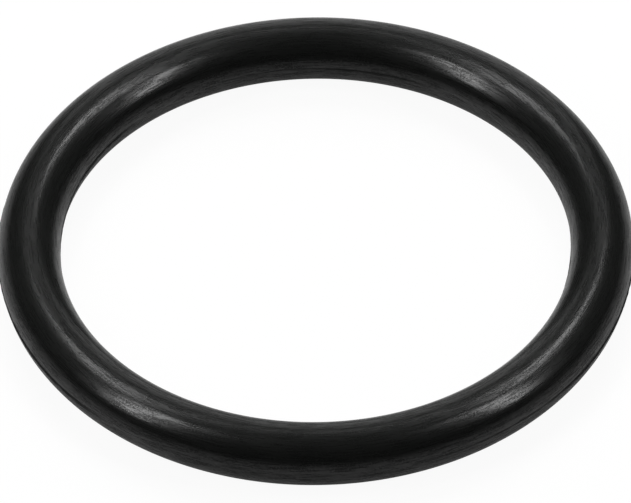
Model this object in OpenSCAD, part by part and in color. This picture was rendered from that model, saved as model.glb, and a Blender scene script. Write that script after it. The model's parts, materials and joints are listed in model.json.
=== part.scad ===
// Moulded rubber o-ring: a round cord closed into a ring.
// The two mould halves meet half way up the cord. The rubber that squeezes out between them is
// trimmed off, and what is left is a narrow land round the hole and round the outside.
// The origin is at the ring's centre, and +Z runs along its axis.

/* [Ring] */
// Diameter of the hole, measured to the round cord
inside_d = 28.7; // [10:0.1:80]
// Diameter of the cord's round section
cord_d = 3.5; // [1.5:0.05:8]

/* [Parting line] */
// Height of the trimmed land, along the ring's axis
land_h = 0.12; // [0.06:0.01:0.3]
// How far the land stands proud of the round cord
land_rise = 0.05; // [0.02:0.005:0.12]
// Radius of the hollow fillet at the foot of the land, from the worn edge of the mould
root_fillet = 0.03; // [0.01:0.005:0.1]

/* [Hidden] */
// Radius of the cord
cord_r = cord_d / 2;
// Radius of the circle that the middle of the cord follows
ring_r = inside_d / 2 + cord_r;
// The fillet never stands higher than the land that it leads up to
fillet_r = min(root_fillet, land_rise);
// Centre of a fillet, which touches the round cord and the flat side of the land
fillet_y = land_h / 2 + fillet_r;
fillet_x = sqrt(pow(cord_r + fillet_r, 2) - pow(fillet_y, 2));
// Sides of the circles in a preview: round the cord, round a fillet and round the ring
cord_sides = 120;
fillet_sides = 48;
ring_sides = 240;

// The strip between the round cord and the land's flat side, hollowed by the fillet
module root_section() {
    difference() {
        polygon([[0, 0], [fillet_x, 0], [fillet_x, fillet_y]]);
        translate([fillet_x, fillet_y]) circle(r = fillet_r, $fn = fillet_sides);
    }
}

// What the mould leaves at the middle of the cord: the land on the hole's side and outside,
// with a fillet above and below each
module parting_section() {
    square([cord_d + 2 * land_rise, land_h], center = true);
    for (side = [0, 1], half = [0, 1])
        mirror([side, 0]) mirror([0, half]) root_section();
}

// The cord cut across, centred on its own middle
module cord_section() {
    circle(r = cord_r, $fn = cord_sides);
    parting_section();
}

module o_ring() {
    color("#1d1d1c")
        rotate_extrude($fn = ring_sides)
            translate([ring_r, 0]) cord_section();
}

o_ring();
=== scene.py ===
"""A moulded rubber o-ring on a pale studio table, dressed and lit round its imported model."""

import json
import logging
import math
from dataclasses import dataclass
from enum import Enum
from typing import Any

import bpy
from mathutils import Matrix, Vector


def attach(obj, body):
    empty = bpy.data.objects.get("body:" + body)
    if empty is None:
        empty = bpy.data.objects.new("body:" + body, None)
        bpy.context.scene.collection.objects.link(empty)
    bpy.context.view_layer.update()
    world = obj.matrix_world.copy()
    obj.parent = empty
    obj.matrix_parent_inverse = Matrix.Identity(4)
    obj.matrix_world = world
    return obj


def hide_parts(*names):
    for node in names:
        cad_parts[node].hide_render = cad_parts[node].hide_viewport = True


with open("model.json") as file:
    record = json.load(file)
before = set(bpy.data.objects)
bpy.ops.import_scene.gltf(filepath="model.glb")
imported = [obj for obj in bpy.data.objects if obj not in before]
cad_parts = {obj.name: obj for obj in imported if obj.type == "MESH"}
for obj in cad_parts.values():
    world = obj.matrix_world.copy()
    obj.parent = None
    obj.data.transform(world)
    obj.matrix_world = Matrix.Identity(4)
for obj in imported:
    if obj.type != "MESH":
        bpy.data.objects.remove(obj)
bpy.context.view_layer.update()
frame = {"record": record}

LOG = logging.getLogger("o_ring_scene")
BODY = "root"
NODE = "o_ring"
MM = 0.001
PHOTO_WIDTH_PX = 631
WHITE = "#ffffff"
# The level about which Blender's noise swings, between 0 and 1
NOISE_MIDDLE = 0.5
# The ring's attribute that tells its torn line from its moulded skin
TORN = "torn"


def linear(code: str) -> tuple[float, float, float, float]:
    """Turns an sRGB hex colour to the linear colour that shaders take.

    Args:
        code: The colour as "#rrggbb".

    Returns:
        Linear red, green and blue, and an alpha of 1.
    """
    parts = (int(code[i : i + 2], 16) / 255 for i in (1, 3, 5))
    red, green, blue = (c / 12.92 if c <= 0.04045 else ((c + 0.055) / 1.055) ** 2.4 for c in parts)
    return red, green, blue, 1.0


def direction(azimuth: float, elevation: float) -> Vector:
    """Gives the unit vector towards an azimuth, counted from +X to +Y, and an elevation, in degrees."""
    turn, rise = math.radians(azimuth), math.radians(elevation)
    return Vector((math.cos(rise) * math.cos(turn), math.cos(rise) * math.sin(turn), math.sin(rise)))


def pick(sockets: Any, key: int | str) -> bpy.types.NodeSocket:
    """Finds one of a node's sockets among those in use.

    Args:
        sockets: The node's inputs or outputs.
        key: The socket's name, or its place among the sockets in use.

    Returns:
        The socket.
    """
    used = [socket for socket in sockets if socket.enabled]
    return used[key] if isinstance(key, int) else next(s for s in used if s.name == key)


def add(tree: bpy.types.NodeTree, kind: str, into: tuple | dict = (), **settings: Any) -> bpy.types.Node:
    """Adds a node to a tree, sets it up and links what leads into it.

    Args:
        tree: The shader or geometry tree that gets the node.
        kind: The node's type name.
        into: What its inputs take, in order or by name: a number, colour or material, a socket, or a
            node whose first output is meant. None leaves an input as it is.
        settings: The node's own settings.

    Returns:
        The new node.
    """
    node = tree.nodes.new(kind)
    for name, value in settings.items():
        setattr(node, name, value)
    for key, value in into.items() if isinstance(into, dict) else enumerate(into):
        if isinstance(value, bpy.types.Node):
            value = pick(value.outputs, 0)
        if isinstance(value, bpy.types.NodeSocket):
            tree.links.new(value, pick(node.inputs, key))
        elif value is not None:
            pick(node.inputs, key).default_value = value
    return node


class Socket(Enum):
    """The kinds of input that a geometry tree here offers."""

    LENGTH = "NodeSocketFloat"
    COUNT = "NodeSocketInt"
    GEOMETRY = "NodeSocketGeometry"
    MATERIAL = "NodeSocketMaterial"


def grow(name: str, tree: bpy.types.NodeTree, values: dict[str, Any]) -> bpy.types.Object:
    """Runs a geometry tree that makes its own shape and keeps the result as a plain mesh.

    Args:
        name: Name of the finished piece.
        tree: The geometry tree.
        values: What each of the tree's named inputs is set to.

    Returns:
        The piece, with no modifier on it.
    """
    carrier = bpy.data.objects.new(name + "_carrier", bpy.data.meshes.new(name + "_start"))
    bpy.context.scene.collection.objects.link(carrier)
    modifier = carrier.modifiers.new(tree.name, "NODES")
    modifier.node_group = tree
    for item in tree.interface.items_tree:
        if item.in_out == "INPUT" and item.name in values:
            modifier[item.identifier] = values[item.name]
    graph = bpy.context.evaluated_depsgraph_get()
    mesh = bpy.data.meshes.new_from_object(carrier.evaluated_get(graph), depsgraph=graph)
    mesh.name = name
    carrier.modifiers.remove(modifier)
    bpy.data.objects.remove(carrier)
    piece = bpy.data.objects.new(name, mesh)
    bpy.context.scene.collection.objects.link(piece)
    return piece


@dataclass(frozen=True)
class RingSizes:
    """The ring's sizes in metres.

    Attributes:
        ring_radius: Radius of the circle that the cord's middle follows.
        cord_radius: Radius of the cord.
        land_height: Height of the trimmed land at the parting line.
        land_rise: How far the land stands proud of the cord.
        root_fillet: Width of the hollow at the land's foot.
    """

    ring_radius: float
    cord_radius: float
    land_height: float
    land_rise: float = 0.05 * MM
    root_fillet: float = 0.03 * MM

    @classmethod
    def from_record(cls, record: dict[str, Any]) -> "RingSizes":
        """Works the sizes out from the two mounts, which are the land on the hole's side and outside.

        Args:
            record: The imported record.

        Returns:
            The sizes.
        """
        dims = {mount["name"]: mount["dims"] for mount in record["mounts"]}
        hole = dims["inside_diameter"]["r_mm"] * MM
        outside = dims["outside_diameter"]["r_mm"] * MM
        return cls(
            ring_radius=(hole + outside) / 2,
            cord_radius=(outside - hole) / 2 - cls.land_rise,
            land_height=dims["inside_diameter"]["length_mm"] * MM,
        )


@dataclass(frozen=True)
class MouldedNitrile:
    """Black nitrile rubber, compression moulded between turned steel plates.

    Carbon black leaves the rubber almost no colour of its own, so what shows is the satin sheen of
    its skin. The mould's turning marks run round the ring, and a thin film of release agent lies
    along them in specks and dashes, which break the highlights up into fine bright streaks. Where a
    trace of wax has bloomed, the black is a little greyer. The parting line, where the flash was torn
    off, has no film, stays matt and reads as a dark line.

    Attributes:
        colour: The rubber itself.
        bloom: The rubber where a trace of wax has come to its surface.
        torn_colour: The torn parting line.
        ior: Index of refraction of filled nitrile rubber.
        roughness: Mean roughness of the moulded skin.
        roughness_swing: How far the roughness wanders either way.
        roughness_levels: The levels of the marks' noise between which it does so.
        film: How thickly the release agent's film lies where it lies thickest, from 0 to 1.
        film_grain: Share of the grain in the layout of the film, where the marks have the rest.
        film_edge: How gradually its patches end, where 0 is a hard edge.
        film_roughness: Roughness of that film.
        torn_roughness: Roughness of the parting line.
        mark_pitch: Spacing of the turning marks as drawn, in metres.
        mark_length: How far one mark runs, in metres.
        mark_depth: Depth of the turning marks, in metres.
        grain_size: Size of the skin's grain as drawn, in metres.
        grain_depth: Depth of the grain, in metres.
        shine: Specular level of the rubber, where 0.5 is the plain one.
        cloud_size: Size of the patches of bloom, in metres.
        cloud_levels: The levels of their noise between which the bloom sets in.
        torn_depth: Depth of the pits in the torn line, in metres.
    """

    colour: str = "#131413"
    bloom: str = "#171817"
    torn_colour: str = "#212221"
    ior: float = 1.5
    roughness: float = 0.28
    roughness_swing: float = 0.02
    roughness_levels: tuple[float, float] = (0.3, 0.7)
    film: float = 0.9
    film_grain: float = 0.5
    film_edge: float = 0.08
    film_roughness: float = 0.20
    torn_roughness: float = 0.8
    mark_pitch: float = 0.08 * MM
    mark_length: float = 1.2 * MM
    mark_depth: float = 0.003 * MM
    grain_size: float = 0.085 * MM
    grain_depth: float = 0.002 * MM
    shine: float = 0.25
    cloud_size: float = 4.0 * MM
    cloud_levels: tuple[float, float] = (0.35, 0.65)
    torn_depth: float = 0.01 * MM

    def material(self, ring: RingSizes) -> bpy.types.Material:
        """Builds the material.

        Args:
            ring: The ring's sizes, which the turning marks follow.

        Returns:
            The material, which reads Object coordinates and, for the torn line, the ring's attribute.
        """
        made = bpy.data.materials.new("moulded_nitrile_rubber")
        made.use_nodes = True
        tree = made.node_tree
        tree.nodes.clear()
        place = add(tree, "ShaderNodeTexCoord").outputs["Object"]
        height = add(tree, "ShaderNodeSeparateXYZ", (place,)).outputs["Z"]

        # The skin unrolled: how far round the cord, and where along the ring
        flat = add(tree, "ShaderNodeVectorMath", (place, (1, 1, 0)), operation="MULTIPLY")
        reach = add(tree, "ShaderNodeVectorMath", (flat,), operation="LENGTH")
        beyond = add(tree, "ShaderNodeMath", (reach, ring.ring_radius), operation="SUBTRACT")
        angle = add(tree, "ShaderNodeMath", (height, beyond), operation="ARCTAN2")
        girth = add(tree, "ShaderNodeMath", (angle, ring.cord_radius), operation="MULTIPLY")
        outward = add(tree, "ShaderNodeVectorMath", (flat,), operation="NORMALIZE")
        run = add(tree, "ShaderNodeVectorMath", (outward, ring.ring_radius), operation="SCALE")
        along = add(tree, "ShaderNodeSeparateXYZ", (run,))
        skin = add(tree, "ShaderNodeCombineXYZ", (girth, along.outputs["X"], along.outputs["Y"]))

        # The real marks are 0.02 to 0.05 mm apart and the grain is finer still. Neither would show in a
        # picture where 0.06 mm is one pixel, so both are drawn as coarse as they need
        stretch = (1 / self.mark_pitch, 1 / self.mark_length, 1 / self.mark_length)
        marks_at = add(tree, "ShaderNodeVectorMath", (skin, stretch), operation="MULTIPLY")
        marks = add(tree, "ShaderNodeTexNoise", {"Vector": marks_at, "Scale": 1.0, "Detail": 1.0})
        grain = add(
            tree, "ShaderNodeTexNoise", {"Vector": place, "Scale": 1 / self.grain_size, "Detail": 1.0}
        )
        cloud = add(
            tree, "ShaderNodeTexNoise", {"Vector": place, "Scale": 1 / self.cloud_size, "Detail": 3.0}
        )

        torn = add(tree, "ShaderNodeAttribute", attribute_name=TORN).outputs["Fac"]
        bloom = add(tree, "ShaderNodeMapRange", (cloud, *self.cloud_levels, 0.0, 1.0))
        skin_colour = add(
            tree, "ShaderNodeMix", (bloom, linear(self.colour), linear(self.bloom)), data_type="RGBA"
        )
        colour = add(
            tree, "ShaderNodeMix", (torn, skin_colour, linear(self.torn_colour)), data_type="RGBA"
        )
        low, high = self.roughness - self.roughness_swing, self.roughness + self.roughness_swing
        skin_roughness = add(tree, "ShaderNodeMapRange", (marks, *self.roughness_levels, low, high))
        roughness = add(tree, "ShaderNodeMix", (torn, skin_roughness, self.torn_roughness))

        specks = add(tree, "ShaderNodeMix", (self.film_grain, marks, grain))
        thin, thick = NOISE_MIDDLE - self.film_edge, NOISE_MIDDLE + self.film_edge
        film_spread = add(tree, "ShaderNodeMapRange", (specks, thin, thick, 0.0, self.film))
        film = add(tree, "ShaderNodeMix", (torn, film_spread, 0.0))

        grained = add(tree, "ShaderNodeBump", {"Height": grain, "Distance": self.grain_depth})
        marked = add(
            tree, "ShaderNodeBump", {"Height": marks, "Distance": self.mark_depth, "Normal": grained}
        )
        pits = add(tree, "ShaderNodeMath", (grain, torn), operation="MULTIPLY")
        pitted = add(
            tree, "ShaderNodeBump", {"Height": pits, "Distance": self.torn_depth, "Normal": marked}
        )
        shader = add(
            tree,
            "ShaderNodeBsdfPrincipled",
            {
                "Base Color": colour,
                "Roughness": roughness,
                "IOR": self.ior,
                "Specular IOR Level": self.shine,
                "Coat Weight": film,
                "Coat Roughness": self.film_roughness,
                "Coat IOR": self.ior,
                "Normal": pitted,
                "Coat Normal": pitted,
            },
        )
        add(tree, "ShaderNodeOutputMaterial", (shader,))
        return made


@dataclass
class MouldedRing:
    """The rubber ring itself, swept by a geometry tree and shaped as its mould left it.

    Attributes:
        sizes: The ring's sizes.
        steps_round: Faces round the ring.
        steps_across: Faces round the cord.
        crowding: How strongly the cord's points crowd towards the parting line, from 0 to 0.5.
        least_land: The share of its rise that the land keeps where it was trimmed clean.
        least_tear: The share that the land keeps between two tears, as against their highest edge.
        tear_levels: The levels of the tears' noise between which the land rises.
        tear_length: How far apart the tears in the land lie, in metres.
        stretch_length: Length of a stretch that was torn or trimmed clean, in metres.
        stretch_levels: The levels of the stretches' noise between which clean turns to torn.
        stretch_seed: Which of the random layouts of those stretches is used.
        wave_depth: Depth of the faint waves in the moulded skin, in metres.
        wave_width: Width of one wave across the cord, in metres.
        wave_length: Length of one wave along the ring, in metres.
    """

    sizes: RingSizes
    steps_round: int = 704
    steps_across: int = 132
    crowding: float = 0.4
    least_land: float = 0.1
    least_tear: float = 0.4
    tear_levels: tuple[float, float] = (0.3, 0.55)
    tear_length: float = 0.9 * MM
    stretch_length: float = 15 * MM
    stretch_levels: tuple[float, float] = (0.45, 0.55)
    stretch_seed: float = 40.5
    wave_depth: float = 0.006 * MM
    wave_width: float = 0.8 * MM
    wave_length: float = 5.0 * MM

    def inputs(self, material: bpy.types.Material) -> dict[str, tuple[Socket, Any]]:
        """Names the tree's inputs.

        Args:
            material: The rubber.

        Returns:
            For each input its kind and its value.
        """
        return {
            "Ring radius": (Socket.LENGTH, self.sizes.ring_radius),
            "Cord radius": (Socket.LENGTH, self.sizes.cord_radius),
            "Land height": (Socket.LENGTH, self.sizes.land_height),
            "Land rise": (Socket.LENGTH, self.sizes.land_rise),
            "Root fillet": (Socket.LENGTH, self.sizes.root_fillet),
            "Steps round": (Socket.COUNT, self.steps_round),
            "Steps across": (Socket.COUNT, self.steps_across),
            "Crowding": (Socket.LENGTH, self.crowding),
            "Least land": (Socket.LENGTH, self.least_land),
            "Tear length": (Socket.LENGTH, self.tear_length),
            "Stretch length": (Socket.LENGTH, self.stretch_length),
            "Stretch seed": (Socket.LENGTH, self.stretch_seed),
            "Wave depth": (Socket.LENGTH, self.wave_depth),
            "Wave width": (Socket.LENGTH, self.wave_width),
            "Wave length": (Socket.LENGTH, self.wave_length),
            "Rubber": (Socket.MATERIAL, material),
        }

    def tree(self, inputs: dict[str, tuple[Socket, Any]]) -> bpy.types.NodeTree:
        """Builds the tree: a cord swept round the ring, then set to its moulded section.

        Args:
            inputs: The tree's inputs, each with its kind and value.

        Returns:
            The geometry tree.
        """
        tree = bpy.data.node_groups.new("moulded_ring", "GeometryNodeTree")
        for name, (kind, _) in inputs.items():
            tree.interface.new_socket(name, in_out="INPUT", socket_type=kind.value)
        tree.interface.new_socket("Ring", in_out="OUTPUT", socket_type=Socket.GEOMETRY.value)
        given = add(tree, "NodeGroupInput").outputs

        path = add(tree, "GeometryNodeCurvePrimitiveCircle", (given["Steps round"], given["Ring radius"]))
        cord = add(tree, "GeometryNodeCurvePrimitiveCircle", (given["Steps across"], given["Cord radius"]))
        swept = add(tree, "GeometryNodeCurveToMesh", {"Curve": path, "Profile Curve": cord})

        # Where each point lies: the way outward from the ring's axis, and the angle round the cord
        place = add(tree, "GeometryNodeInputPosition")
        height = add(tree, "ShaderNodeSeparateXYZ", (place,)).outputs["Z"]
        flat = add(tree, "ShaderNodeVectorMath", (place, (1, 1, 0)), operation="MULTIPLY")
        outward = add(tree, "ShaderNodeVectorMath", (flat,), operation="NORMALIZE")
        reach = add(tree, "ShaderNodeVectorMath", (flat,), operation="LENGTH")
        beyond = add(tree, "ShaderNodeMath", (reach, given["Ring radius"]), operation="SUBTRACT")
        even = add(tree, "ShaderNodeMath", (height, beyond), operation="ARCTAN2")

        # Points crowd towards the parting line, where the section is finest
        twice = add(tree, "ShaderNodeMath", (even, 2.0), operation="MULTIPLY")
        pull = add(tree, "ShaderNodeMath", (twice,), operation="SINE")
        pulled = add(tree, "ShaderNodeMath", (pull, given["Crowding"]), operation="MULTIPLY")
        angle = add(tree, "ShaderNodeMath", (even, pulled), operation="SUBTRACT")
        cosine = add(tree, "ShaderNodeMath", (angle,), operation="COSINE")
        sine = add(tree, "ShaderNodeMath", (angle,), operation="SINE")
        rise = add(tree, "ShaderNodeMath", (sine, given["Cord radius"]), operation="MULTIPLY")
        round_out = add(tree, "ShaderNodeMath", (cosine, given["Cord radius"]), operation="MULTIPLY")

        # The land at the parting line: some stretches are torn to an uneven edge, others are clean
        run = add(tree, "ShaderNodeVectorMath", (outward, given["Ring radius"]), operation="SCALE")
        at = add(tree, "ShaderNodeVectorMath", (run, place), operation="ADD")
        per_tear = add(tree, "ShaderNodeMath", (1.0, given["Tear length"]), operation="DIVIDE")
        tears = add(tree, "ShaderNodeTexNoise", {"Vector": at, "Scale": per_tear, "Detail": 4.0})
        per_stretch = add(tree, "ShaderNodeMath", (1.0, given["Stretch length"]), operation="DIVIDE")
        stretches = add(
            tree,
            "ShaderNodeTexNoise",
            {"Vector": place, "W": given["Stretch seed"], "Scale": per_stretch, "Detail": 1.0},
            noise_dimensions="4D",
        )
        ragged = add(tree, "ShaderNodeMapRange", (tears, *self.tear_levels, self.least_tear, 1.0))
        rough_cut = add(tree, "ShaderNodeMapRange", (stretches, *self.stretch_levels, 0.0, 1.0))
        tear = add(tree, "ShaderNodeMath", (ragged, rough_cut), operation="MULTIPLY")
        share = add(tree, "ShaderNodeMapRange", (tear, 0.0, 1.0, given["Least land"], 1.0))
        proud = add(tree, "ShaderNodeMath", (share, given["Land rise"]), operation="MULTIPLY")
        land = add(tree, "ShaderNodeMath", (proud, given["Cord radius"]), operation="ADD")
        side = add(tree, "ShaderNodeMath", (cosine,), operation="SIGN")
        land_out = add(tree, "ShaderNodeMath", (land, side), operation="MULTIPLY")
        half = add(tree, "ShaderNodeMath", (given["Land height"], 0.5), operation="MULTIPLY")
        foot = add(tree, "ShaderNodeMath", (half, given["Root fillet"]), operation="ADD")
        from_middle = add(tree, "ShaderNodeMath", (rise,), operation="ABSOLUTE")
        near = (from_middle, half, foot, 1.0, 0.0)
        on_land = add(tree, "ShaderNodeMapRange", near, interpolation_type="SMOOTHSTEP")
        out = add(tree, "ShaderNodeMix", (on_land, round_out, land_out))
        torn = add(tree, "ShaderNodeMath", (on_land, tear), operation="MULTIPLY")

        # Faint waves in the skin, which make the edges of the highlights wander
        girth = add(tree, "ShaderNodeMath", (angle, given["Cord radius"]), operation="MULTIPLY")
        across = add(tree, "ShaderNodeMath", (girth, given["Wave width"]), operation="DIVIDE")
        per_wave = add(tree, "ShaderNodeMath", (1.0, given["Wave length"]), operation="DIVIDE")
        along = add(tree, "ShaderNodeVectorMath", (run, per_wave), operation="SCALE")
        lifted = add(tree, "ShaderNodeCombineXYZ", {"Z": across})
        wave_at = add(tree, "ShaderNodeVectorMath", (along, lifted), operation="ADD")
        waves = add(tree, "ShaderNodeTexNoise", {"Vector": wave_at, "Scale": 1.0, "Detail": 2.0})
        centred = add(tree, "ShaderNodeMath", (waves, NOISE_MIDDLE), operation="SUBTRACT")
        swell = add(tree, "ShaderNodeMath", (centred, given["Wave depth"]), operation="MULTIPLY")

        # The point's new place
        total_out = add(tree, "ShaderNodeMath", (out, given["Ring radius"]), operation="ADD")
        swell_out = add(tree, "ShaderNodeMath", (swell, cosine, total_out), operation="MULTIPLY_ADD")
        swell_up = add(tree, "ShaderNodeMath", (swell, sine, rise), operation="MULTIPLY_ADD")
        level = add(tree, "ShaderNodeVectorMath", (outward, swell_out), operation="SCALE")
        upright = add(tree, "ShaderNodeCombineXYZ", {"Z": swell_up})
        moulded = add(tree, "ShaderNodeVectorMath", (level, upright), operation="ADD")
        marked = add(
            tree,
            "GeometryNodeStoreNamedAttribute",
            {"Geometry": swept, "Name": TORN, "Value": torn},
            data_type="FLOAT",
        )
        shaped = add(tree, "GeometryNodeSetPosition", {"Geometry": marked, "Position": moulded})
        smooth = add(tree, "GeometryNodeSetShadeSmooth", (shaped,))
        real = add(tree, "GeometryNodeRealizeInstances", (smooth,))
        dressed = add(tree, "GeometryNodeSetMaterial", {"Geometry": real, "Material": given["Rubber"]})
        add(tree, "NodeGroupOutput", (dressed,))
        return tree

    def build(self, finish: MouldedNitrile) -> bpy.types.Object:
        """Builds the ring in place of its plain CAD solid.

        Args:
            finish: The rubber's finish.

        Returns:
            The finished ring.
        """
        inputs = self.inputs(finish.material(self.sizes))
        values = {name: value for name, (_, value) in inputs.items()}
        ring = grow("o_ring_moulded", self.tree(inputs), values)
        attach(ring, BODY)
        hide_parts(NODE)
        return ring


def white_share(
    tree: bpy.types.NodeTree, looked_at: float, mirrored: float
) -> tuple[bpy.types.NodeSocket, bpy.types.Node]:
    """Works out how much of the plain white background a ray sees.

    Args:
        tree: The tree that gets the nodes.
        looked_at: The share for the camera's own rays.
        mirrored: The share for rays that meet it in a reflection or through glass.

    Returns:
        Whether the ray is the camera's own, and its share of the white.
    """
    rays = add(tree, "ShaderNodeLightPath").outputs
    bounced = (rays["Is Glossy Ray"], rays["Is Transmission Ray"])
    either = add(tree, "ShaderNodeMath", bounced, operation="MAXIMUM")
    direct = add(tree, "ShaderNodeMath", (rays["Is Camera Ray"], looked_at), operation="MULTIPLY")
    share = add(tree, "ShaderNodeMath", (either, mirrored, direct), operation="MULTIPLY_ADD")
    return rays["Is Camera Ray"], share


@dataclass
class StudioTable:
    """The pale table under the ring: a round sheet whose rim curls up, seen from inside only.

    Attributes:
        top: Height of the table, in metres.
        colour: The sheet's colour in the picture.
        mirrored_colour: The sheet's colour in the ring's sheen and in the light that it throws back.
        painted_light_colour: The same close to the ring, where a band of painted light lies round it.
        painted_light_start: Distance from the ring's centre at which that light sets in, in metres.
        painted_light_full: Distance from the centre at which it has risen to its full, in metres.
        painted_light_fading: Distance from the centre at which it begins to fall off, in metres.
        painted_light_end: Distance from the centre at which it has fallen off, in metres.
        glow: Share of plain white that the camera sees in place of the lit sheet.
        mirrored_glow: The same share in reflections and through glass.
        roughness: Roughness of the sheet's satin face, which throws the lamps' light on to the ring.
        ior: Index of refraction of the sheet's face.
        flat_radius: Radius of the flat part, in metres.
        curl: Radius of the curl at the rim, in metres.
        steps: Faces round the table.
        curl_steps: Faces up the curl.
    """

    top: float
    colour: str = "#fcfcfc"
    mirrored_colour: str = "#8c8c8c"
    painted_light_colour: str = "#bababa"
    painted_light_start: float = 8.5 * MM
    painted_light_full: float = 12.5 * MM
    painted_light_fading: float = 18 * MM
    painted_light_end: float = 32 * MM
    glow: float = 0.94
    mirrored_glow: float = 0.10
    roughness: float = 0.35
    ior: float = 1.5
    flat_radius: float = 0.85
    curl: float = 0.06
    steps: int = 128
    curl_steps: int = 16

    def material(self) -> bpy.types.Material:
        """Builds the sheet's material, which keeps the ring's shadow and is clear from behind.

        Returns:
            The material.
        """
        made = bpy.data.materials.new("satin_white_sheet")
        made.use_nodes = True
        tree = made.node_tree
        tree.nodes.clear()
        looked_at, share = white_share(tree, self.glow, self.mirrored_glow)
        place = add(tree, "ShaderNodeTexCoord").outputs["Object"]
        reach = add(tree, "ShaderNodeVectorMath", (place,), operation="LENGTH")
        # Painted light: what reflections and bounced light see of the sheet is lighter in a band round the
        # ring, rising from 8.5 mm out and falling off by 32 mm
        painted_light_fade = add(tree, "ShaderNodeMapRange", (reach, self.painted_light_fading, self.painted_light_end, 1.0, 0.0))
        painted_light_share = add(tree, "ShaderNodeMapRange", (reach, self.painted_light_start, self.painted_light_full, 0.0, painted_light_fade))
        mirrored = add(
            tree,
            "ShaderNodeMix",
            (painted_light_share, linear(self.mirrored_colour), linear(self.painted_light_colour)),
            data_type="RGBA",
        )
        colour = add(
            tree, "ShaderNodeMix", (looked_at, mirrored, linear(self.colour)), data_type="RGBA"
        )
        lit = add(
            tree,
            "ShaderNodeBsdfPrincipled",
            {"Base Color": colour, "Roughness": self.roughness, "IOR": self.ior},
        )
        white = add(tree, "ShaderNodeEmission", (linear(WHITE), 1.0))
        front = add(tree, "ShaderNodeMixShader", (share, lit, white))
        behind = add(tree, "ShaderNodeNewGeometry").outputs["Backfacing"]
        clear = add(tree, "ShaderNodeBsdfTransparent")
        one_sided = add(tree, "ShaderNodeMixShader", (behind, front, clear))
        add(tree, "ShaderNodeOutputMaterial", (one_sided,))
        return made

    def build(self) -> bpy.types.Object:
        """Builds the table.

        Returns:
            The table.
        """
        rows = [(0.0, 0.0), (self.flat_radius, 0.0)]
        for step in range(1, self.curl_steps + 1):
            turn = math.pi / 2 * step / self.curl_steps
            rows.append((self.flat_radius + self.curl * math.sin(turn), self.curl * (1 - math.cos(turn))))
        points = [Vector((0, 0, self.top))]
        for radius, lift in rows[1:]:
            for step in range(self.steps):
                turn = math.tau * step / self.steps
                points.append(Vector((radius * math.cos(turn), radius * math.sin(turn), self.top + lift)))
        faces = []
        for step in range(self.steps):
            after = (step + 1) % self.steps
            faces.append((0, 1 + step, 1 + after))
            for row in range(len(rows) - 2):
                low, high = 1 + row * self.steps, 1 + (row + 1) * self.steps
                faces.append((low + step, high + step, high + after, low + after))
        mesh = bpy.data.meshes.new("studio_table")
        mesh.from_pydata(points, [], faces)
        mesh.shade_smooth()
        mesh.materials.append(self.material())
        table = bpy.data.objects.new("studio_table", mesh)
        bpy.context.scene.collection.objects.link(table)
        return table


class Lamp(Enum):
    """The lamps that stand round the table."""

    LEFT = "softbox_left"
    RIGHT = "softbox_right"
    LEFT_STRIP = "strip_left"
    RIGHT_STRIP = "strip_right"
    RIGHT_TIP = "strip_right_tip"
    BACK = "card_back"
    HIGH = "card_high"
    FILL = "fill_above"


@dataclass(frozen=True)
class Softbox:
    """A soft rectangular lamp that faces the ring.

    Attributes:
        azimuth: Where it stands, in degrees from +X towards +Y.
        elevation: How high it stands, in degrees above the table.
        width: Its width, as a share of its distance.
        height: Its height, as a share of its distance.
        tilt: Its turn about the line to the ring, in degrees.
        radiance: How bright its face is, where 1 is a white in full light.
        distance: Its distance from the ring, in metres.
        mirrored: Whether it shows in reflections.
    """

    azimuth: float
    elevation: float
    width: float
    height: float
    tilt: float
    radiance: float
    distance: float = 0.5
    mirrored: bool = True

    def build(self, name: str) -> bpy.types.Object:
        """Builds the lamp.

        Args:
            name: Its name.

        Returns:
            The lamp.
        """
        data = bpy.data.lights.new(name, "AREA")
        data.shape = "RECTANGLE"
        data.size = self.width * self.distance
        data.size_y = self.height * self.distance
        data.energy = self.radiance * math.pi * data.size * data.size_y
        towards = direction(self.azimuth, self.elevation)
        lamp = bpy.data.objects.new(name, data)
        aim = towards.to_track_quat("Z", "Y").to_matrix()
        turned = aim @ Matrix.Rotation(math.radians(self.tilt), 3, "Z")
        lamp.matrix_world = Matrix.Translation(towards * self.distance) @ turned.to_4x4()
        lamp.visible_camera = False
        lamp.visible_glossy = self.mirrored
        bpy.context.scene.collection.objects.link(lamp)
        return lamp


@dataclass(frozen=True)
class Studio:
    """The room: soft lamps and a dim, even surround that the camera sees as white.

    Attributes:
        lamps: The lamps by name.
        surround: Colour of the room.
        mirrored_white: Share of plain white that reflections see in place of the room.
    """

    lamps: dict[Lamp, Softbox]
    surround: str = "#1c1c1c"
    mirrored_white: float = 0.02

    def build(self) -> None:
        """Builds the room and its lamps."""
        world = bpy.data.worlds.new("studio")
        world.use_nodes = True
        tree = world.node_tree
        tree.nodes.clear()
        _, share = white_share(tree, 1.0, self.mirrored_white)
        colour = add(
            tree, "ShaderNodeMix", (share, linear(self.surround), linear(WHITE)), data_type="RGBA"
        )
        light = add(tree, "ShaderNodeBackground", (colour, 1.0))
        add(tree, "ShaderNodeOutputWorld", (light,))
        bpy.context.scene.world = world
        for lamp, softbox in self.lamps.items():
            softbox.build(lamp.value)


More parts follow.
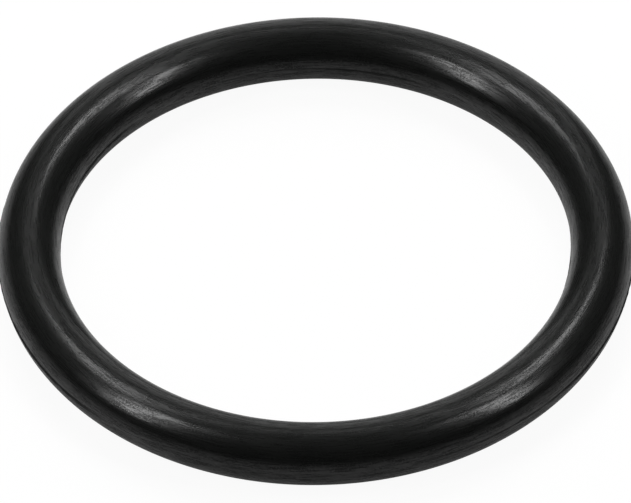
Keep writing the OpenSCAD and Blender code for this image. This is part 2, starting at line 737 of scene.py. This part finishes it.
@dataclass(frozen=True)
class PhotoCamera:
    """The camera, a long lens half way up over the ring.

    Attributes:
        azimuth: Where it stands, in degrees from +X towards +Y.
        elevation: Its height over the table, in degrees.
        roll: Its turn about its own line of sight, in degrees.
        distance: Its distance from the ring's centre, in metres.
        focal_px: Its focal length in pixels of the photograph.
        right_px: How far the ring's centre lies right of the picture's centre, in its pixels.
        up_px: How far the ring's centre lies above the picture's centre, in its pixels.
    """

    azimuth: float = -90.0
    elevation: float = 45.02
    roll: float = -0.786
    distance: float = 0.8443
    focal_px: float = 15032.0
    right_px: float = 0.23
    up_px: float = 3.40

    def build(self) -> bpy.types.Object:
        """Builds the camera and makes it the scene's own.

        Returns:
            The camera.
        """
        data = bpy.data.cameras.new("photo_camera")
        data.lens = self.focal_px * data.sensor_width / PHOTO_WIDTH_PX
        camera = bpy.data.objects.new("photo_camera", data)
        back = direction(self.azimuth, self.elevation)
        turn = back.to_track_quat("Z", "Y").to_matrix() @ Matrix.Rotation(math.radians(self.roll), 3, "Z")
        per_px = self.distance / self.focal_px
        shift = turn @ Vector((-self.right_px * per_px, -self.up_px * per_px, 0))
        camera.matrix_world = Matrix.Translation(back * self.distance + shift) @ turn.to_4x4()
        bpy.context.scene.collection.objects.link(camera)
        bpy.context.scene.camera = camera
        return camera


LAMPS = {
    Lamp.LEFT: Softbox(azimuth=195.4, elevation=48.7, width=0.160, height=0.753, tilt=20.7, radiance=7.9),
    Lamp.RIGHT: Softbox(azimuth=348.9, elevation=48.6, width=0.130, height=0.648, tilt=-20.4, radiance=8.0),
    Lamp.LEFT_STRIP: Softbox(
        azimuth=124.6, elevation=58.5, width=0.102, height=0.470, tilt=111.4, radiance=6.2
    ),
    Lamp.RIGHT_STRIP: Softbox(
        azimuth=53.6, elevation=58.4, width=0.098, height=0.497, tilt=-115.4, radiance=6.2
    ),
    Lamp.RIGHT_TIP: Softbox(azimuth=71.0, elevation=50.8, width=0.080, height=0.100, tilt=-130, radiance=4.0),
    Lamp.BACK: Softbox(azimuth=89.0, elevation=17.3, width=0.69, height=0.60, tilt=0, radiance=0.5),
    Lamp.HIGH: Softbox(azimuth=90, elevation=49, width=0.22, height=0.17, tilt=0, radiance=0.5),
    Lamp.FILL: Softbox(
        azimuth=90, elevation=45, width=0.7, height=0.7, tilt=0, radiance=5.0, mirrored=False
    ),
}


def report(piece: bpy.types.Object) -> None:
    """Logs what a piece came out as."""
    size = [round(side / MM, 3) for side in piece.dimensions]
    LOG.info("%s: %d faces, %s mm", piece.name, len(piece.data.polygons), size)


def main() -> None:
    """Builds the camera, the table, the lamps and the ring."""
    logging.basicConfig(level=logging.INFO, format="%(message)s")
    bpy.context.scene.view_settings.view_transform = "Standard"
    sizes = RingSizes.from_record(frame["record"])
    PhotoCamera().build()
    Studio(LAMPS).build()
    report(StudioTable(top=-sizes.cord_radius).build())
    report(MouldedRing(sizes).build(MouldedNitrile()))


if __name__ == "__main__":
    main()
